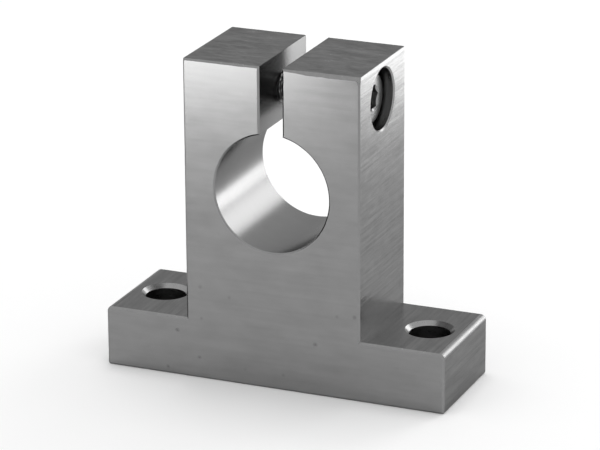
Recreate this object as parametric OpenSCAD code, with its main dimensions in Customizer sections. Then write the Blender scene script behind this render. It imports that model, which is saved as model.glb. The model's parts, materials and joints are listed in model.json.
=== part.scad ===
// Shaft support block: an upright, slotted clamp that holds the end of a round
// shaft, with a foot to screw it down and a cap screw that closes the slot.
// Millimetres. X is the width, Y runs along the shaft, Z is up.
// The origin is the middle of the underside.

/* [Foot] */
// Width of the foot over both ears
foot_width = 48; // [47:0.5:60]
// Thickness of the ears
ear_thickness = 8.3; // [6:0.1:12]
// Radius along the top edge of each ear's end
ear_edge_radius = 0.9; // [0.4:0.1:2]
// Length of the block along the shaft
block_length = 16; // [12:0.5:24]

/* [Column] */
// Width of the column across both jaws
column_width = 24.6; // [22:0.2:28]
// Height of the block over the jaws
block_height = 44; // [43:0.5:52]
// Bevel along the front and back outlines
outline_bevel = 0.25; // [0.1:0.05:0.5]

/* [Shaft bore] */
// Diameter of the bore, which is the shaft's
bore_diameter = 16; // [12:0.5:18]
// Height of the shaft's centre over the underside
bore_height = 27; // [24:0.5:28]
// Bevel at both mouths of the bore
bore_bevel = 0.2; // [0.1:0.05:0.5]
// Width of the slot between the jaws
slot_width = 3.2; // [1.5:0.1:4]

/* [Mounting holes] */
// Distance from each ear's end to the centre of its hole
hole_inset = 5; // [4.4:0.1:6.5]
// Diameter of each hole
hole_diameter = 5.5; // [3.4:0.1:6]
// Bevel around the top of each hole
hole_bevel = 0.55; // [0.2:0.05:0.8]

/* [Clamp screw] */
// Nominal thread diameter
thread_diameter = 4; // [3:0.5:5]
// Length of the screw under its head
screw_length = 16; // [14:0.5:18]
// Depth of the screw's centre below the top of the jaws
screw_drop = 5; // [4.6:0.1:6]
// Diameter of the head
head_diameter = 7; // [6:0.1:7.4]
// Height of the head
head_height = 4; // [3:0.1:4.4]
// Width across the flats of the hexagon socket
socket_width = 3; // [2.5:0.1:3.5]
// Depth of the hexagon socket
socket_depth = 2; // [1.2:0.1:2.4]
// Turn of the socket's corners from the shaft's direction, with the screw tight
socket_turn = 7; // [0:1:60]
// Bevel around the outer edge of the head
head_bevel = 0.35; // [0.1:0.05:0.6]
// Bevel at the tip of the thread
tip_bevel = 0.5; // [0.2:0.1:0.8]
// How far the head is sunk below the column's face
head_recess = 1.3; // [0.5:0.1:2]

/* [Fits] */
// Gap around the head in its counterbore
head_clearance = 0.6; // [0.3:0.05:0.8]
// Gap around the screw in the near jaw
shank_clearance = 0.25; // [0.1:0.05:0.4]
// Gap around the screw in the tapped hole
thread_clearance = 0.05; // [0.02:0.01:0.1]
// Bevel at the mouths of the screw's holes
screw_hole_bevel = 0.2; // [0.1:0.05:0.4]

/* [Hidden] */
$fn = 96;

// How far a cutter runs past the surface that it opens
past = 1;

half_foot = foot_width / 2;
half_column = column_width / 2;
half_length = block_length / 2;
half_slot = slot_width / 2;
hole_spacing = foot_width - 2 * hole_inset;
bore_radius = bore_diameter / 2;
hole_radius = hole_diameter / 2;
thread_radius = thread_diameter / 2;
head_radius = head_diameter / 2;
screw_height = block_height - screw_drop;

// The face that the head bears on, at the bottom of the counterbore
seat_x = half_column - head_recess - head_height;

// A bar along Y, centred on its length, with its front and back outlines bevelled
// on the sides named: across bevels its ends in X, above its top, below its bottom.
module bevelled_bar(width, low, high, across, above, below) {
    b = outline_bevel;
    side = across ? b : 0;
    top = above ? b : 0;
    bottom = below ? b : 0;
    intersection() {
        translate([0, 0, low])
            linear_extrude(high - low)
                polygon([
                    [-width / 2 + side, -half_length], [width / 2 - side, -half_length],
                    [width / 2, -half_length + side], [width / 2, half_length - side],
                    [width / 2 - side, half_length], [-width / 2 + side, half_length],
                    [-width / 2, half_length - side], [-width / 2, -half_length + side]
                ]);
        rotate([90, 0, 90])
            linear_extrude(width, center = true)
                polygon([
                    [-half_length + bottom, low], [half_length - bottom, low],
                    [half_length, low + bottom], [half_length, high - top],
                    [half_length - top, high], [-half_length + top, high],
                    [-half_length, high - top], [-half_length, low + bottom]
                ]);
    }
}

// A round bar along Y with both of its ends bevelled
module bevelled_rod(radius) {
    b = outline_bevel;
    rotate([90, 0, 0])
        rotate_extrude()
            polygon([
                [0, -half_length], [radius - b, -half_length], [radius, -half_length + b],
                [radius, half_length - b], [radius - b, half_length], [0, half_length]
            ]);
}

// A round cutter along Z that starts at the height `bottom` and comes out of a
// surface at the height `top`, with a bevel around its mouth there
module hole(radius, bottom, top, bevel) {
    translate([0, 0, bottom])
        cylinder(r = radius, h = top - bottom + past);
    translate([0, 0, top - bevel])
        cylinder(r1 = radius, r2 = radius + bevel + past, h = bevel + past);
}

// The extruded section: the foot, its two rounded edges and the column
module extrusion() {
    edge_x = half_foot - ear_edge_radius;
    edge_z = ear_thickness - ear_edge_radius;
    bevelled_bar(foot_width, 0, edge_z, true, false, true);
    bevelled_bar(2 * edge_x, 0, ear_thickness, false, true, true);
    for (side = [-1, 1])
        translate([side * edge_x, 0, edge_z]) bevelled_rod(ear_edge_radius);
    bevelled_bar(column_width, 0, block_height, true, true, true);
}

// The bore and the slot that opens it to the top
module shaft_seat() {
    translate([0, 0, bore_height])
        for (turn = [0, 180])
            rotate([90, 0, turn]) hole(bore_radius, -past, half_length, bore_bevel);
    translate([-half_slot, -half_length - past, bore_height])
        cube([slot_width, block_length + 2 * past, block_height - bore_height + past]);
}

// A hole down through each ear
module mounting_holes() {
    for (side = [-1, 1])
        translate([side * hole_spacing / 2, 0, 0])
            hole(hole_radius, -past, ear_thickness, hole_bevel);
}

// The counterbore and the clearance hole in the near jaw, and the tapped hole
// right through the far one
module screw_holes() {
    translate([0, 0, screw_height]) {
        rotate([0, 90, 0]) {
            hole(head_radius + head_clearance, seat_x, half_column, screw_hole_bevel);
            cylinder(r = thread_radius + shank_clearance, h = seat_x + past);
        }
        rotate([0, -90, 0])
            hole(thread_radius + thread_clearance, 0, half_column, screw_hole_bevel);
    }
}

module support_block() {
    color("silver")
        difference() {
            extrusion();
            shaft_seat();
            mounting_holes();
            screw_holes();
        }
}

// The head outwards from the seat, and the threaded shank inwards from it
module clamp_screw() {
    across_corners = socket_width / cos(30);
    color("lightgray")
        translate([seat_x, 0, screw_height])
            rotate([0, 90, 0])
                difference() {
                    rotate_extrude()
                        polygon([
                            [0, -screw_length], [thread_radius - tip_bevel, -screw_length],
                            [thread_radius, -screw_length + tip_bevel], [thread_radius, 0],
                            [head_radius, 0], [head_radius, head_height - head_bevel],
                            [head_radius - head_bevel, head_height], [0, head_height]
                        ]);
                    translate([0, 0, head_height - socket_depth])
                        rotate([0, 0, 90 + socket_turn])
                            cylinder(d = across_corners, h = socket_depth + past, $fn = 6);
                }
}

support_block();
clamp_screw();
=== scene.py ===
import json
import math

import bmesh
import bpy
from mathutils import Matrix, Vector


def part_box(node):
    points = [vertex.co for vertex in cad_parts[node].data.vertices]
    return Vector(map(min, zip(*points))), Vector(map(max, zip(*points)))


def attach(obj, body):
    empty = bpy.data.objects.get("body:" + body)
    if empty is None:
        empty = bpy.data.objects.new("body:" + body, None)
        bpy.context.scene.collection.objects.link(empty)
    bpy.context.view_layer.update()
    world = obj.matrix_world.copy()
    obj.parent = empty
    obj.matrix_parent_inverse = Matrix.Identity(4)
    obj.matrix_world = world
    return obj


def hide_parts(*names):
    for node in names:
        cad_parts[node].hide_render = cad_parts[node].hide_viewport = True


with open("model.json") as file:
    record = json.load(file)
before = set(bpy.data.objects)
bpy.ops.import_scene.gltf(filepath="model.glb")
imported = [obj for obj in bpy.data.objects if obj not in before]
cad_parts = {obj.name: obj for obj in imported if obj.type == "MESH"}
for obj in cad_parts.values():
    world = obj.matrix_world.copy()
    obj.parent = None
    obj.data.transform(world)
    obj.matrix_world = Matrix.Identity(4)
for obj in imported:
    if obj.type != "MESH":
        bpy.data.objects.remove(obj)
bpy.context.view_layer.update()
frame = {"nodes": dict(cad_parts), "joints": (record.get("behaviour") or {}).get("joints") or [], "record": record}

# --------------------------------------------------------------------------------------
# Sizes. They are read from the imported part, in millimetres, and every mesh is turned
# into metres as the last step of its making.
# --------------------------------------------------------------------------------------
MM = 0.001
NEAR = 0.01


def points_of(node):
    return [vertex.co / MM for vertex in frame["nodes"][node].data.vertices]


def mount(name):
    return next(m for m in frame["record"]["mounts"] if m["name"] == name)


block_points = points_of("support_block")
screw_points = points_of("clamp_screw")
block_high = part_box("support_block")[1] / MM
screw_low, screw_high = (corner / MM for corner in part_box("clamp_screw"))

foot_half = block_high.x
length_half = block_high.y
block_height = block_high.z
top_points = [p for p in block_points if p.z > block_height - NEAR]
column_half = max(p.x for p in top_points)
slot_half = min(abs(p.x) for p in top_points)
ears = [p for p in block_points if abs(p.x) > column_half + 1]
ear_height = max(p.z for p in ears)
ear_ends = [p for p in ears if abs(p.x) > foot_half - NEAR]
ear_rounding = ear_height - max(p.z for p in ear_ends)
edge_bevel = length_half - max(p.y for p in ear_ends)

bore_radius = mount("shaft_bore")["dims"]["r_mm"]
bore_height = mount("shaft_bore")["pos_m"][2] / MM
bore_bevel = length_half - mount("shaft_bore")["dims"]["length_mm"] / 2
hole_radius = mount("foot_holes")["dims"]["hole_r_mm"]
hole_spacing = mount("foot_holes")["dims"]["spacing_x_mm"]
hole_bevel = max(
    math.hypot(p.x - hole_spacing / 2, p.y)
    for p in ears
    if p.z > ear_height - NEAR and math.hypot(p.x - hole_spacing / 2, p.y) < 1.5 * hole_radius
) - hole_radius

screw_joint = next(j for j in frame["joints"] if j["child"] == "screw")
seat_x = screw_joint["pos_m"][0] / MM
screw_height = screw_joint["pos_m"][2] / MM


def off_axis(p):
    """How far a point is from the screw's axis."""
    return math.hypot(p.y, p.z - screw_height)


head_radius = screw_high.y
head_height = screw_high.x - seat_x
screw_length = seat_x - screw_low.x
shank_radius = max(off_axis(p) for p in screw_points if p.x < seat_x - 1)
tip_bevel = shank_radius - max(off_axis(p) for p in screw_points if p.x < screw_low.x + NEAR)
seat = [off_axis(p) for p in block_points if abs(p.x - seat_x) < NEAR]
counterbore_radius = max(seat)
clearance_radius = min(seat)
tapped_radius = min(off_axis(p) for p in block_points if p.x < -slot_half - 1)
mouth_bevel = max(
    off_axis(p) for p in block_points
    if p.x > column_half - NEAR and off_axis(p) < 1.2 * counterbore_radius
) - counterbore_radius

# The coarse thread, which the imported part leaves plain, and the hexagon socket
thread_pitch = 0.7
thread_depth = 0.38
socket_width = 3.0
socket_depth = 2.0
socket_turn = math.radians(7)


# --------------------------------------------------------------------------------------
# Node trees. A Wire is one output of a node; the usual operators add Math nodes.
# --------------------------------------------------------------------------------------
class Wire:
    def __init__(self, net, socket):
        self.net, self.socket = net, socket

    def also(self, name):
        """Another output of the same node."""
        return Wire(self.net, self.socket.node.outputs[name])

    def __add__(self, other):
        return self.net.math("ADD", self, other)

    def __sub__(self, other):
        return self.net.math("SUBTRACT", self, other)

    def __mul__(self, other):
        return self.net.math("MULTIPLY", self, other)

    def __truediv__(self, other):
        return self.net.math("DIVIDE", self, other)

    def __pow__(self, other):
        return self.net.math("POWER", self, other)

    def __rsub__(self, other):
        return self.net.math("SUBTRACT", other, self)

    def __rtruediv__(self, other):
        return self.net.math("DIVIDE", other, self)

    def __gt__(self, other):
        return self.net.math("GREATER_THAN", self, other)

    def __lt__(self, other):
        return self.net.math("LESS_THAN", self, other)

    def __neg__(self):
        return self * -1

    def __abs__(self):
        return self.net.math("ABSOLUTE", self)

    __radd__, __rmul__ = __add__, __mul__


class Net:
    """A node tree that is being written."""

    def __init__(self, tree):
        self.tree = tree

    def node(self, kind, settings=None, inputs=None, output=None):
        """Adds a node: its settings come first, then the values or wires of its sockets."""
        node = self.tree.nodes.new(kind)
        for name, value in (settings or {}).items():
            if name == "stops":
                self.set_stops(node.color_ramp, value)
            else:
                setattr(node, name, value)
        live = [socket for socket in node.inputs if socket.enabled]
        for key, value in (inputs or {}).items():
            socket = live[key] if isinstance(key, int) else next(s for s in live if s.name == key)
            for one in value if isinstance(value, list) else [value]:
                if isinstance(one, Wire):
                    self.tree.links.new(one.socket, socket)
                else:
                    socket.default_value = one
        made = [socket for socket in node.outputs if socket.enabled]
        if not made:
            return node
        return Wire(self, made[0] if output is None else node.outputs[output])

    @staticmethod
    def set_stops(ramp, stops):
        while len(ramp.elements) < len(stops):
            ramp.elements.new(0.5)
        for element, (position, value) in zip(ramp.elements, stops):
            element.position, element.color = position, (value, value, value, 1)

    def math(self, operation, *values):
        return self.node("ShaderNodeMath", {"operation": operation}, dict(enumerate(values)))

    def vector(self, x, y, z):
        return self.node("ShaderNodeCombineXYZ", None, {"X": x, "Y": y, "Z": z})

    def parts(self, vector):
        x = self.node("ShaderNodeSeparateXYZ", None, {"Vector": vector})
        return x, x.also("Y"), x.also("Z")

    def vectors(self, operation, *values):
        return self.node("ShaderNodeVectorMath", {"operation": operation}, dict(enumerate(values)))

    def blend(self, factor, low, high):
        """Runs from low to high as the factor goes from 0 to 1."""
        return low + (high - low) * factor

    def step(self, value, low, high):
        """0 below low and 1 above high, with a smooth change between them."""
        return self.node("ShaderNodeMapRange", {"interpolation_type": "SMOOTHSTEP"},
                         {"Value": value, "From Min": low, "From Max": high})


# --------------------------------------------------------------------------------------
# Geometry Nodes
# --------------------------------------------------------------------------------------
class Shape(Net):
    """A Geometry Nodes tree with named sizes, in millimetres, that ends in metres."""

    def __init__(self, name, sizes):
        super().__init__(bpy.data.node_groups.new(name, "GeometryNodeTree"))
        self.sizes = sizes
        for way in ("INPUT", "OUTPUT"):
            self.tree.interface.new_socket("Geometry", in_out=way, socket_type="NodeSocketGeometry")
        for label in sizes:
            self.tree.interface.new_socket(label, in_out="INPUT", socket_type="NodeSocketFloat")
        self.given = self.tree.nodes.new("NodeGroupInput")

    def size(self, label):
        return Wire(self, self.given.outputs[label])

    @property
    def start(self):
        return Wire(self, self.given.outputs["Geometry"])

    @property
    def position(self):
        return self.node("GeometryNodeInputPosition")

    def attribute(self, name):
        return self.node("GeometryNodeInputNamedAttribute", {"data_type": "FLOAT_VECTOR"}, {"Name": name})

    def placed(self, shape, position, faces=None):
        inputs = {"Geometry": shape, "Position": position}
        if faces is not None:
            inputs["Selection"] = faces
        return self.node("GeometryNodeSetPosition", None, inputs)

    def moved(self, shape, shift=(0, 0, 0), turn=(0, 0, 0), scale=(1, 1, 1)):
        return self.node("GeometryNodeTransform", None,
                         {"Geometry": shape, "Translation": shift, "Rotation": turn, "Scale": scale})

    def joined(self, *shapes):
        return self.node("GeometryNodeJoinGeometry", None, {"Geometry": list(reversed(shapes))})

    def coated(self, shape, material, faces=None):
        inputs = {"Geometry": shape, "Material": material}
        if faces is not None:
            inputs["Selection"] = faces
        return self.node("GeometryNodeSetMaterial", None, inputs)

    def rod(self, radius, low, high, material, top_radius=None, sides=96):
        """A round bar along Z from one height to another, or a cone with two radii."""
        bar = self.node("GeometryNodeMeshCone", {"fill_type": "NGON"}, {
            "Vertices": sides, "Radius Bottom": radius,
            "Radius Top": radius if top_radius is None else top_radius, "Depth": high - low})
        return self.coated(self.moved(bar, self.vector(0, 0, low)), material)

    def drill(self, radius, low, high, bevel, wall, rim, past=1.0):
        """A round cutter along Z that ends above a surface at `high`, with a bevel there."""
        hole = self.rod(radius, low, high + past, wall)
        mouth = self.rod(radius, high - bevel, high + past, rim, top_radius=radius + bevel + past)
        return [hole, mouth]

    def cut(self, shape, cutters):
        return self.node("GeometryNodeMeshBoolean", {"operation": "DIFFERENCE", "solver": "EXACT"},
                         {"Mesh 1": shape, "Mesh 2": cutters})

    def finished(self, shape):
        """Joins points that a cut left in one place, turns the shape into metres and makes it
        one real mesh."""
        shape = self.node("GeometryNodeMergeByDistance", None, {"Geometry": shape, "Distance": 0.0003})
        shape = self.moved(shape, scale=(MM, MM, MM))
        return self.node("GeometryNodeRealizeInstances", None, {"Geometry": shape})

    def ends(self, shape):
        end = self.tree.nodes.new("NodeGroupOutput")
        self.tree.links.new(shape.socket, end.inputs["Geometry"])

    def grown(self, mesh, name):
        """The plain object that the tree makes of a starting mesh."""
        seed = bpy.data.objects.new(name, mesh)
        bpy.context.scene.collection.objects.link(seed)
        modifier = seed.modifiers.new(self.tree.name, "NODES")
        modifier.node_group = self.tree
        for socket in self.tree.interface.items_tree:
            if socket.in_out == "INPUT" and socket.name in self.sizes:
                modifier[socket.identifier] = float(self.sizes[socket.name])
        depsgraph = bpy.context.evaluated_depsgraph_get()
        made = bpy.data.meshes.new_from_object(seed.evaluated_get(depsgraph))
        seed.modifiers.remove(modifier)
        bpy.data.objects.remove(seed)
        made.name = name
        made.shade_smooth()
        made.set_sharp_from_angle(angle=math.radians(28))
        piece = bpy.data.objects.new(name, made)
        bpy.context.scene.collection.objects.link(piece)
        return piece


def ways(corners, i):
    """The directions from one corner of a path back and on along it."""
    corner = Vector(corners[i])
    return ((Vector(corners[i - 1]) - corner).normalized(),
            (Vector(corners[(i + 1) % len(corners)]) - corner).normalized())


def bars(corners, roundings, arc_steps=6):
    """A path through corners, with the named roundings drawn as arcs."""
    path = []
    for i, (corner, radius) in enumerate(zip(corners, roundings)):
        corner = Vector(corner)
        if not radius:
            path.append(corner)
            continue
        back, on = ways(corners, i)
        centre = corner + (back + on) * radius
        for k in range(arc_steps + 1):
            a = math.pi / 2 * k / arc_steps
            path.append(centre - on * radius * math.cos(a) - back * radius * math.sin(a))
    return path


def spaced(path, step):
    """The same closed path with points no further apart than a step."""
    made = []
    for a, b in zip(path, path[1:] + path[:1]):
        parts = max(1, math.ceil((b - a).length / step))
        made += [a.lerp(b, k / parts) for k in range(parts)]
    return made


def section():
    """The extruded section as one face in the XZ plane, facing +Y. Each point carries the
    place it starts from and the inward step of its bevel, for a bevel of 1 mm; the step's
    middle number is the bevel's depth along Y."""
    slot_foot = bore_height + math.sqrt(bore_radius ** 2 - slot_half ** 2)
    corners = [(0, 0), (foot_half, 0), (foot_half, ear_height), (column_half, ear_height),
               (column_half, block_height), (slot_half, block_height), (slot_half, slot_foot)]
    sharp, foot_round, top_round = 0, 0.3, 0.12
    roundings = [sharp, foot_round, ear_rounding, sharp, top_round, sharp, sharp]
    right = bars(corners, roundings)
    # An outer corner rounded less than its bevel keeps its arc, moved inwards as a whole
    tight = [(Vector(corners[i]), roundings[i], sum(ways(corners, i), Vector((0, 0)))) for i in (1, 4)]
    opening = math.asin(slot_half / bore_radius)
    arc_steps = 90
    for k in range(1, arc_steps + 1):
        a = opening + (math.pi - opening) * k / arc_steps
        right.append(Vector((bore_radius * math.sin(a), bore_height + bore_radius * math.cos(a))))
    left = [Vector((-p.x, p.y)) for p in reversed(right[1:-1])]
    outline = spaced(right + left, 0.5)

    mesh = bmesh.new()
    start = mesh.verts.layers.float_vector.new("start")
    inset = mesh.verts.layers.float_vector.new("inset")
    count = len(outline)
    for i, p in enumerate(outline):
        into, out = (p - outline[i - 1]).normalized(), (outline[(i + 1) % count] - p).normalized()
        n1, n2 = Vector((-into.y, into.x)), Vector((-out.y, out.x))
        step = (n1 + n2) / (1 + n1.dot(n2))
        for corner, radius, inward in tight:
            if (Vector((abs(p.x), p.y)) - corner).length < radius + 0.001:
                step = Vector((math.copysign(inward.x, inward.x * p.x), inward.y))
        depth = 1
        if math.hypot(p.x, p.y - bore_height) < bore_radius + NEAR:
            depth = bore_bevel / edge_bevel
        vertex = mesh.verts.new((p.x, 0, p.y))
        vertex[start] = (p.x, 0, p.y)
        vertex[inset] = (step.x * depth, depth, step.y * depth)
    mesh.faces.new(list(mesh.verts)[::-1])
    made = bpy.data.meshes.new("section")
    mesh.to_mesh(made)
    mesh.free()
    return made


def support_block(finishes):
    """The block: the section swept along the shaft's direction with a bevel at both ends,
    then drilled, counterbored and tapped."""
    net = Shape("Extruded block", {
        "Half length": length_half, "Bevel": edge_bevel, "Bevel wander": 0.16,
        "Hole radius": hole_radius, "Hole spacing": hole_spacing, "Hole bevel": hole_bevel,
        "Ear height": ear_height, "Column half": column_half, "Screw height": screw_height,
        "Seat": seat_x, "Counterbore radius": counterbore_radius, "Clearance radius": clearance_radius,
        "Tapped radius": tapped_radius, "Mouth bevel": mouth_bevel, "Free thread": column_half + screw_low.x,
        "Thread pitch": thread_pitch, "Thread depth": thread_depth,
    })
    start, inset = net.attribute("start"), net.attribute("inset")
    start_x, _, start_z = net.parts(start)
    inset_x, inset_y, inset_z = net.parts(inset)

    def bevel_at(end):
        """The bevel's width at one end, which wanders a little as a hand-held tool does."""
        where = net.vectors("ADD", start, (0.0, 40.0 * end, 0.0))
        noise = net.node("ShaderNodeTexNoise", {"noise_dimensions": "3D"},
                         {"Vector": where, "Scale": 0.55, "Detail": 3.0, "Roughness": 0.6})
        width = net.size("Bevel") * (1 + net.size("Bevel wander") * (noise - 0.5) * 4)
        if end > 0:
            return width
        rubbed = (net.step(start_z, block_height - 1.2, block_height - 0.1)
                  * net.step(start_x, slot_half + 1, slot_half + 4))
        return width * (1 + rubbed * 0.8)

    def ring(end, inner):
        """Where the outline lies on one end's face, or at the inner edge of its bevel."""
        bevel = bevel_at(end)
        y = net.size("Half length") * end
        if inner:
            return net.vector(start_x, y - inset_y * bevel * end, start_z)
        return net.vector(start_x + inset_x * bevel, y, start_z + inset_z * bevel)

    first = net.placed(net.start, ring(-1, False))
    shape, faces, sides = first, None, []
    for end, inner in ((-1, True), (1, True), (1, False)):
        inputs = {"Mesh": shape, "Offset Scale": 0.0, "Individual": False}
        if faces is not None:
            inputs["Selection"] = faces
        shape = net.node("GeometryNodeExtrudeMesh", {"mode": "FACES"}, inputs)
        faces = shape.also("Top")
        shape = net.placed(shape, ring(end, inner), faces)
    back = net.node("GeometryNodeFlipFaces", None, {"Mesh": first})
    shape = net.node("GeometryNodeMergeByDistance", None,
                     {"Geometry": net.joined(shape, back), "Distance": 0.0001})

    # The holes down through the ears: one drill on each point of a line
    line = net.node("GeometryNodeMeshLine", {"mode": "OFFSET"}, {
        "Count": 2, "Start Location": net.vector(net.size("Hole spacing") * -0.5, 0, 0),
        "Offset": net.vector(net.size("Hole spacing"), 0, 0)})
    cutters = []
    for tool in net.drill(net.size("Hole radius"), -1, net.size("Ear height"), net.size("Hole bevel"),
                          finishes["drilled_wall"], finishes["countersunk_rim"]):
        holes = net.node("GeometryNodeInstanceOnPoints", None, {"Points": line, "Instance": tool})
        cutters.append(net.node("GeometryNodeRealizeInstances", None, {"Geometry": holes}))

    # The screw's holes, drawn along Z and then laid over to +X or -X
    def across(tools, way):
        shift = net.vector(0, 0, net.size("Screw height"))
        return [net.moved(tool, shift, (0, way * math.pi / 2, 0)) for tool in tools]

    cutters += across(net.drill(
        net.size("Counterbore radius"), net.size("Seat"), net.size("Column half"),
        net.size("Mouth bevel"), finishes["bored_wall"], finishes["countersunk_rim"]), 1)
    cutters += across([net.rod(net.size("Clearance radius"), 0, net.size("Seat") + 1,
                               finishes["bored_wall"])], 1)
    cutters += across(tapped_hole(net, finishes), -1)
    shape = net.finished(net.cut(shape, cutters))

    # Finishes by place and by the way a face looks
    x, y, z = net.parts(net.vectors("SCALE", net.position, 1 / MM))
    normal = net.node("GeometryNodeInputNormal")
    across_y = abs(net.parts(normal)[1])
    from_bore = net.math("SQRT", x * x + (z - bore_height) * (z - bore_height))
    unset = net.node("GeometryNodeMaterialSelection", None, {"Material": finishes["drilled_wall"]})
    for other in ("bored_wall", "countersunk_rim", "cut_thread"):
        unset = unset + net.node("GeometryNodeMaterialSelection", None, {"Material": finishes[other]})
    own = 1 - unset
    on_end = across_y > 0.99
    on_bevel = (across_y > 0.3) * (across_y < 0.99)
    in_bore = (from_bore < bore_radius + 0.02) * (across_y < 0.3)
    in_slot = (abs(x) < slot_half + 0.01) * (z > bore_height + bore_radius * 0.9) * (across_y < 0.3)
    shape = net.coated(shape, finishes["extruded_skin"], own)
    shape = net.coated(shape, finishes["ear_top"], own * (abs(x) > column_half + 0.01)
                       * (abs(z - ear_height) < 0.01))
    shape = net.coated(shape, finishes["rounded_edge"], own * (abs(x) > foot_half - ear_rounding + 0.01)
                       * (z > ear_height - ear_rounding + 0.01) * (z < ear_height - 0.01))
    shape = net.coated(shape, finishes["jaw_top"], own * (z > block_height - 0.01))
    shape = net.coated(shape, finishes["milled_face"], own * on_end)
    shape = net.coated(shape, finishes["deburred_edge"], own * on_bevel)
    shape = net.coated(shape, finishes["reamed_bore"], own * in_bore)
    shape = net.coated(shape, finishes["sawn_slot"], own * in_slot)
    net.ends(shape)
    return net.grown(section(), "support_block_dressed")


def helix(net, radius, depth, pitch, low, high, sides, rings, run_out):
    """A round bar along Z whose surface is a right-hand thread: `radius` at the crests,
    and `depth` less in the grooves, which fade out at the heights in `run_out`."""
    bar = net.node("GeometryNodeMeshCylinder", {"fill_type": "NGON"}, {
        "Vertices": sides, "Side Segments": rings, "Radius": 1.0, "Depth": high - low})
    bar = net.moved(bar, net.vector(0, 0, (low + high) * 0.5))
    x, y, z = net.parts(net.position)
    angle = net.math("ARCTAN2", y, x) / math.tau
    turn = net.math("FRACT", z / pitch - angle + 0.25)
    slope = abs(turn * 2 - 1)
    crest_flat, root_flat = 0.12, 0.2
    groove = net.step(slope, root_flat, 1 - crest_flat)
    radial = radius - depth * (1 - groove) * run_out(z)
    return net.placed(bar, net.vector(x * radial, y * radial, z))


def tapped_hole(net, finishes):
    """The cutter of the tapped hole along Z: a threaded length that the screw's tip
    doesn't reach, and a plain length round the screw."""
    pitch, depth = net.size("Thread pitch"), net.size("Thread depth")
    radius, half, free = net.size("Tapped radius"), net.size("Column half"), net.size("Free thread")
    plain = net.rod(radius, 0, half - free + 0.2, finishes["cut_thread"], sides=64)
    thread = helix(net, radius, depth, pitch, half - free + 0.1, half + 0.4, 64, 44, lambda z: 1)
    thread = net.coated(thread, finishes["cut_thread"])
    mouth = net.rod(radius - 0.3, half - 0.5, half + 1, finishes["countersunk_rim"], top_radius=radius + 1.2)
    return [plain, thread, mouth]


def clamp_screw(finishes):
    """The cap screw, drawn along Z with its seat at 0, then laid over to +X."""
    net = Shape("Cap screw", {
        "Shank radius": shank_radius, "Screw length": screw_length, "Tip bevel": tip_bevel,
        "Thread pitch": thread_pitch, "Thread depth": thread_depth,
        "Head radius": head_radius, "Head height": head_height, "Head bevel": 0.35,
        "Knurls": 60, "Knurl depth": 0.07, "Socket width": socket_width, "Socket depth": socket_depth,
        "Socket turn": socket_turn, "Seat": seat_x, "Screw height": screw_height,
    })
    length, shank = net.size("Screw length"), net.size("Shank radius")
    in_head = 0.6

    def run_out(z):
        """The thread starts behind the tip's bevel and fades out just under the head."""
        return net.step(z, -0.3, -1.1)

    thread = helix(net, shank, net.size("Thread depth"), net.size("Thread pitch"),
                   -length, in_head, 48, 290, run_out)
    x, y, z = net.parts(net.position)
    tip = net.math("MINIMUM", 1, (shank - net.size("Tip bevel") + (z + length)) / shank)
    thread = net.placed(thread, net.vector(x * tip, y * tip, z))
    thread = net.coated(thread, finishes["rolled_thread"])

    # The head: a turned blank with straight knurls round its side and an eased top edge
    height, radius = net.size("Head height"), net.size("Head radius")
    head = net.node("GeometryNodeMeshCylinder", {"fill_type": "NGON"}, {
        "Vertices": 480, "Side Segments": 24, "Radius": 1.0, "Depth": height})
    head = net.moved(head, net.vector(0, 0, height * 0.5))
    x, y, z = net.parts(net.position)
    bevel = net.size("Head bevel")
    over = net.math("MAXIMUM", z - (height - bevel), 0) / bevel
    eased = bevel * (1 - net.math("SQRT", net.math("MAXIMUM", 1 - over * over, 0)))
    under = net.math("MAXIMUM", 0.2 - z, 0)
    angle = net.math("ARCTAN2", y, x)
    ridges = net.math("COSINE", angle * net.size("Knurls")) * 0.5 + 0.5
    band = net.step(z, 0.35, 0.55) * net.step(z, height - bevel - 0.1, height - bevel - 0.3)
    wide = radius - eased - under - net.size("Knurl depth") * (1 - ridges) * band
    head = net.placed(head, net.vector(x * wide, y * wide, z))
    head = net.coated(head, finishes["turned_head"])

    # The hexagon socket: a prism, a drilled cone at its bottom and a small chamfer at its mouth
    across_corners = net.size("Socket width") / math.cos(math.pi / 6)
    floor_z = height - net.size("Socket depth")
    prism = net.rod(across_corners * 0.5, floor_z, height + 1, finishes["broached_socket"], sides=6)
    prism = net.moved(prism, turn=net.vector(0, 0, math.pi / 2 + net.size("Socket turn")))
    point = net.rod(0.02, floor_z - 0.55, floor_z + 0.01, finishes["broached_socket"],
                    top_radius=net.size("Socket width") * 0.5, sides=48)
    mouth = net.rod(net.size("Socket width") * 0.5, height - 0.18, height + 0.3,
                    finishes["turned_head"], top_radius=net.size("Socket width") * 0.5 + 0.72, sides=48)
    head = net.cut(head, [prism, point, mouth])
    whole = net.node("GeometryNodeMeshBoolean", {"operation": "UNION", "solver": "EXACT"},
                     {0: [head, thread]})
    whole = net.moved(whole, net.vector(net.size("Seat"), 0, net.size("Screw height")), (0, math.pi / 2, 0))
    whole = net.finished(whole)
    flat = net.node("GeometryNodeMaterialSelection", None, {"Material": finishes["turned_head"]})
    net.ends(net.coated(whole, finishes["turned_head"], flat))
    return net.grown(bpy.data.meshes.new("empty"), "clamp_screw_dressed")


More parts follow.
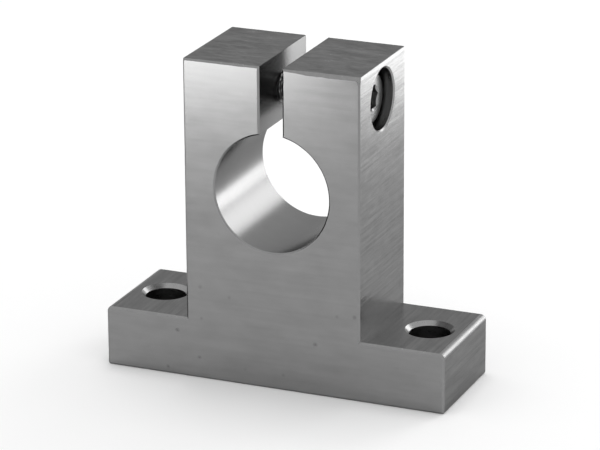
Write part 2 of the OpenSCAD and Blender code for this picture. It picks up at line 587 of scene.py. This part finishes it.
# --------------------------------------------------------------------------------------
# Finishes
# --------------------------------------------------------------------------------------
class Finish(Net):
    """A metal finish, drawn on the piece's own coordinates in millimetres."""

    def __init__(self, name):
        self.material = bpy.data.materials.new(name)
        self.material.use_nodes = True
        super().__init__(self.material.node_tree)
        self.tree.nodes.clear()
        place = self.node("ShaderNodeTexCoord", output="Object")
        self.place = self.vectors("SCALE", place, 1 / MM)

    def grain(self, stretch, scale, detail=3.0, roughness=0.55, shift=(0.0, 0.0, 0.0)):
        """Noise from 0 to 1, drawn out along the directions whose stretch is small."""
        where = self.vectors("ADD", self.vectors("MULTIPLY", self.place, stretch), shift)
        return self.node("ShaderNodeTexNoise", {"noise_dimensions": "3D"},
                         {"Vector": where, "Scale": scale, "Detail": detail, "Roughness": roughness})

    def sheen(self, tone, roughness, height, depth, **fixed):
        """The metal: its grey tone and roughness may vary, and its relief is `depth` mm deep."""
        relief = self.node("ShaderNodeBump", None, {"Height": height, "Distance": depth * MM})
        colour = self.node("ShaderNodeMix", {"data_type": "RGBA"}, {
            "Factor": tone, "A": (0.0, 0.0, 0.0, 1), "B": (1.0, 1.0, 1.0, 1)})
        inputs = {"Base Color": colour, "Metallic": 1.0, "Roughness": roughness, "Normal": relief,
                  "Specular Tint": (grazing_tint, grazing_tint, grazing_tint, 1)}
        inputs.update(fixed)
        metal = self.node("ShaderNodeBsdfPrincipled", None, inputs)
        self.node("ShaderNodeOutputMaterial", None, {"Surface": metal})
        return self.material


# Grey tones of the two metals. Each finish is a share of its metal's tone, from about 0.7 for
# the tops to 1.15 for the countersunk rims. The darker tops are partly a different finish and partly
# painted shade. The walls of the slot and of the drilled, bored and tapped holes, below 1, are painted
# shade, and the brighter rims are a painted highlight. The tint of the reflection at grazing angles
# keeps such tones from turning white there.
aluminium = 0.24
steel = 0.26
grazing_tint = 0.5


def extruded_skin(name, level, streaks, dullness):
    """Skin of the extrusion: fine lines along the shaft's direction."""
    net = Finish(name)
    lines = net.grain((1, 0.03, 1), 3.0, 4.0, 0.7)
    fine = net.grain((1, 0.03, 1), 7.0, 3.0, 0.6, (3, 1, 7))
    mottle = net.grain((1, 0.5, 1), 1.1, 4.0, 0.7, (9, 2, 4))
    tone = aluminium * level * (1 + (lines - 0.5) * streaks + (mottle - 0.5) * 0.35)
    roughness = dullness + (fine - 0.5) * 0.14 + (mottle - 0.5) * 0.12
    return net.sheen(tone, roughness, lines + fine * 0.35 + mottle * 0.3, 0.016)


def jaw_top():
    """The tops of the jaws: dull and mottled, drawn out a little across the width, and darker partly by painted
    shade.
    """
    net = Finish("jaw_top")
    mottle = net.grain((0.35, 1, 1), 0.8, 5.0, 0.7, (4, 1, 8))
    fine = net.grain((0.15, 1, 1), 5.0, 3.0, 0.6, (2, 5, 1))
    # 0.75 of the aluminium's tone: partly the tops' own finish, partly painted shade on the tops.
    tone = aluminium * (0.75 + (mottle - 0.5) * 1.1 + (fine - 0.5) * 0.5)
    roughness = 0.24 + (mottle - 0.5) * 0.2
    return net.sheen(tone, roughness, mottle + fine * 0.3, 0.01)


def milled_face():
    """Front and back: faced smooth, with faint lines across the width, soft clouds and, low
    down, a few small pits."""
    net = Finish("milled_face")
    lines = net.grain((0.04, 1, 1), 1.5, 3.0, 0.6)
    cloud = net.grain((0.5, 1, 1), 0.45, 3.0, 0.6, (5, 0, 2))
    cells = net.node("ShaderNodeTexVoronoi", {"feature": "F1"}, {
        "Vector": net.vectors("MULTIPLY", net.place, (1, 0, 1)), "Scale": 0.4})
    chosen = net.parts(cells.also("Color"))[0] > 0.4
    low = 1 - net.step(net.parts(net.place)[2], 10, 16)
    pit = (1 - net.step(cells, 0.04, 0.17)) * chosen * low
    tone = aluminium * (1 + (lines - 0.5) * 0.2 + (cloud - 0.5) * 0.25) * (1 - pit * 0.3)
    roughness = 0.19 + (lines - 0.5) * 0.04 + (cloud - 0.5) * 0.08 + pit * 0.1
    return net.sheen(tone, roughness, lines * 0.02 - pit, 0.016)


def deburred_edge():
    net = Finish("deburred_edge")
    rough = net.grain((1, 1, 1), 1.6, 4.0, 0.7)
    tone = aluminium * (1 + (rough - 0.5) * 0.3)
    return net.sheen(tone, 0.24 + (rough - 0.5) * 0.2, rough, 0.035)


def countersunk_rim():
    """The bevels of the holes, cut with a countersink; their tone, above the skin's, is a painted highlight."""
    net = Finish("countersunk_rim")
    cloud = net.grain((1, 1, 1), 1.0, 3.0, 0.6)
    # 1.15 of the aluminium's tone: a painted highlight on the rims.
    tone = aluminium * (1.15 + (cloud - 0.5) * 0.2)
    return net.sheen(tone, 0.28 + (cloud - 0.5) * 0.12, cloud, 0.012)


def reamed_bore():
    """The bore: a smooth reamed wall with faint rings round the shaft's axis."""
    net = Finish("reamed_bore")
    rings = net.grain((0.05, 1, 0.05), 3.0, 3.0, 0.5)
    cloud = net.grain((1, 1, 1), 0.4, 2.0, 0.5, (1, 6, 3))
    tone = aluminium * (0.9 + (rings - 0.5) * 0.06 + (cloud - 0.5) * 0.1)
    return net.sheen(tone, 0.25 + (cloud - 0.5) * 0.06, rings, 0.001)


def sawn_slot():
    """The slot's walls: arcs left by the slitting saw, on a tone below the skin's that is painted shade in the
    slot.
    """
    net = Finish("sawn_slot")
    x, y, z = net.parts(net.place)
    saw = net.math("SQRT", (y + 9) * (y + 9) + (z - 62) * (z - 62))
    where = net.vector(saw * 5, x * 0.3, 0)
    arcs = net.node("ShaderNodeTexNoise", {"noise_dimensions": "3D"},
                    {"Vector": where, "Scale": 1.0, "Detail": 3.0, "Roughness": 0.6})
    # 0.8 of the aluminium's tone: painted shade in the slot; the arcs round it are the saw's marks.
    tone = aluminium * (0.8 + (arcs - 0.5) * 0.25)
    return net.sheen(tone, 0.24 + (arcs - 0.5) * 0.08, arcs, 0.008)


def ringed_wall(name, stretch):
    """The wall of a drilled or bored hole, with rings round its axis, on a tone below the skin's that is painted
    shade in the hole.
    """
    net = Finish(name)
    rings = net.grain(stretch, 4.0, 4.0, 0.6)
    # 0.85 of the aluminium's tone: painted shade inside the holes; the rings round it are the tool's marks.
    tone = aluminium * (0.85 + (rings - 0.5) * 0.4)
    return net.sheen(tone, 0.3 + (rings - 0.5) * 0.2, rings, 0.02)


def plated(name, roughness, depth):
    """The screw's plated steel."""
    net = Finish(name)
    grain = net.grain((1, 1, 1), 3.0, 4.0, 0.6)
    cloud = net.grain((1, 1, 1), 0.9, 2.0, 0.5, (2, 8, 5))
    tone = steel * (1 + (grain - 0.5) * 0.25 + (cloud - 0.5) * 0.3)
    return net.sheen(tone, roughness + (grain - 0.5) * 0.12, grain, depth)


def turned_head():
    """The head's top and side: turning marks round the screw's axis under the plating."""
    net = Finish("turned_head")
    x, y, z = net.parts(net.place)
    out = net.math("SQRT", y * y + (z - screw_height) * (z - screw_height))
    where = net.vector(out * 6, 0, x * 6)
    marks = net.node("ShaderNodeTexNoise", {"noise_dimensions": "3D"},
                     {"Vector": where, "Scale": 1.0, "Detail": 3.0, "Roughness": 0.6})
    cloud = net.grain((1, 1, 1), 0.9, 3.0, 0.6, (2, 8, 5))
    tone = steel * (1 + (marks - 0.5) * 0.2 + (cloud - 0.5) * 0.3)
    return net.sheen(tone, 0.24 + (cloud - 0.5) * 0.15, marks, 0.012)


finishes = {
    "extruded_skin": extruded_skin("extruded_skin", 1.0, 0.9, 0.2),
    # The ear tops at 0.72 of the skin's tone: partly a different finish, partly painted shade on the tops.
    "ear_top": extruded_skin("ear_top", 0.72, 0.9, 0.2),
    "rounded_edge": extruded_skin("rounded_edge", 1.0, 0.8, 0.36),
    "jaw_top": jaw_top(),
    "milled_face": milled_face(),
    "deburred_edge": deburred_edge(),
    "countersunk_rim": countersunk_rim(),
    "reamed_bore": reamed_bore(),
    "sawn_slot": sawn_slot(),
    "drilled_wall": ringed_wall("drilled_wall", (0.1, 0.1, 1)),
    "bored_wall": ringed_wall("bored_wall", (1, 0.1, 0.1)),
    "cut_thread": ringed_wall("cut_thread", (1, 0.3, 0.3)),
    "turned_head": turned_head(),
    "rolled_thread": plated("rolled_thread", 0.3, 0.02),
    "broached_socket": plated("broached_socket", 0.4, 0.03),
}

block = support_block(finishes)
screw = clamp_screw(finishes)
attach(block, "block")
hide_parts("support_block")
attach(screw, "screw")
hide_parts("clamp_screw")

# --------------------------------------------------------------------------------------
# Stage: floor, lamps and camera
# --------------------------------------------------------------------------------------
fill_light = 0.82
floor_tone = 0.9
floor_lift = 0.05
floor_reach = 8.0


def seen(net):
    """1 for what the camera sees, directly, in a reflection or through glass."""
    path = net.node("ShaderNodeLightPath", output="Is Camera Ray")
    return net.math("MINIMUM", path + path.also("Is Glossy Ray") + path.also("Is Transmission Ray"), 1)


def stage_piece(name, mesh, material):
    """A part of the studio: it is no part of the block."""
    mesh.materials.append(material)
    piece = bpy.data.objects.new(name, mesh)
    bpy.context.scene.collection.objects.link(piece)
    return piece


def studio_material(name):
    material = bpy.data.materials.new(name)
    material.use_nodes = True
    net = Net(material.node_tree)
    net.tree.nodes.clear()
    return material, net


def pale_floor():
    """A matt white floor that shows the block's shadow, lifted a little where it is seen."""
    mesh = bpy.data.meshes.new("floor")
    mesh.from_pydata([(-floor_reach, -floor_reach, 0), (floor_reach, -floor_reach, 0),
                      (floor_reach, floor_reach, 0), (-floor_reach, floor_reach, 0)],
                     [], [(0, 1, 2, 3)])
    material, net = studio_material("pale_floor")
    matt = net.node("ShaderNodeBsdfDiffuse", None, {"Color": (floor_tone, floor_tone, floor_tone, 1)})
    lift = net.node("ShaderNodeEmission", None, {"Color": (1, 1, 1, 1), "Strength": seen(net) * floor_lift})
    both = net.node("ShaderNodeAddShader", None, {0: matt, 1: lift})
    net.node("ShaderNodeOutputMaterial", None, {"Surface": both})
    stage_piece("floor", mesh, material)


def softbox(name, place, width, height, power, aim=(0, 0, 20)):
    """A soft lamp at a place in mm, which shows in the metal but not to the camera."""
    lamp = bpy.data.lights.new(name, "AREA")
    lamp.shape, lamp.size, lamp.size_y = "RECTANGLE", width * MM, height * MM
    lamp.energy = power
    holder = bpy.data.objects.new(name, lamp)
    bpy.context.scene.collection.objects.link(holder)
    holder.location = Vector(place) * MM
    way = (Vector(aim) - Vector(place)).normalized()
    holder.rotation_mode = "QUATERNION"
    holder.rotation_quaternion = way.to_track_quat("-Z", "Y")
    holder.visible_camera = False


def world_light():
    """An even white sky: plain white where it is seen, and a fill light on everything else."""
    world = bpy.data.worlds.new("studio")
    bpy.context.scene.world = world
    world.use_nodes = True
    net = Net(world.node_tree)
    net.tree.nodes.clear()
    level = net.blend(seen(net), fill_light, 1.0)
    back = net.node("ShaderNodeBackground", None, {"Color": (1, 1, 1, 1), "Strength": level})
    net.node("ShaderNodeOutputWorld", None, {"Surface": back})


def camera():
    """Looks down on the block from its right front, level to within a third of a degree."""
    azimuth, elevation, roll = (math.radians(angle) for angle in (22.88, 19.27, 0.324))
    distance, aim_right, aim_up = 463.8, 0.49, 19.116
    back = Vector((math.sin(azimuth) * math.cos(elevation), -math.cos(azimuth) * math.cos(elevation),
                   math.sin(elevation)))
    right = Vector((math.cos(azimuth), math.sin(azimuth), 0))
    up = back.cross(right)
    right, up = (right * math.cos(roll) - up * math.sin(roll), right * math.sin(roll) + up * math.cos(roll))
    place = (right * aim_right + up * aim_up + back * distance) * MM
    lens = bpy.data.cameras.new("camera")
    lens.sensor_width, lens.lens = 36, 208.35
    lens.clip_start, lens.clip_end = 0.01, 20
    holder = bpy.data.objects.new("camera", lens)
    bpy.context.scene.collection.objects.link(holder)
    holder.matrix_world = Matrix((right, up, back)).transposed().to_4x4()
    holder.location = place
    bpy.context.scene.camera = holder


pale_floor()
world_light()
# Name, place of the middle, width and height in mm, power in W, and the point it faces
softbox("overhead_softbox", (0, 120, 700), 300, 300, 1.0)
softbox("rear_softbox", (165, 360, 148), 160, 170, 0.3)
softbox("rear_strip", (72, 118, 18), 50, 34, 0.027, (12, 0, 40))
softbox("front_strip", (-76, -122, 18), 68, 34, 0.026, (-8, -8, 40))
camera()
bpy.context.scene.view_settings.view_transform = "Standard"
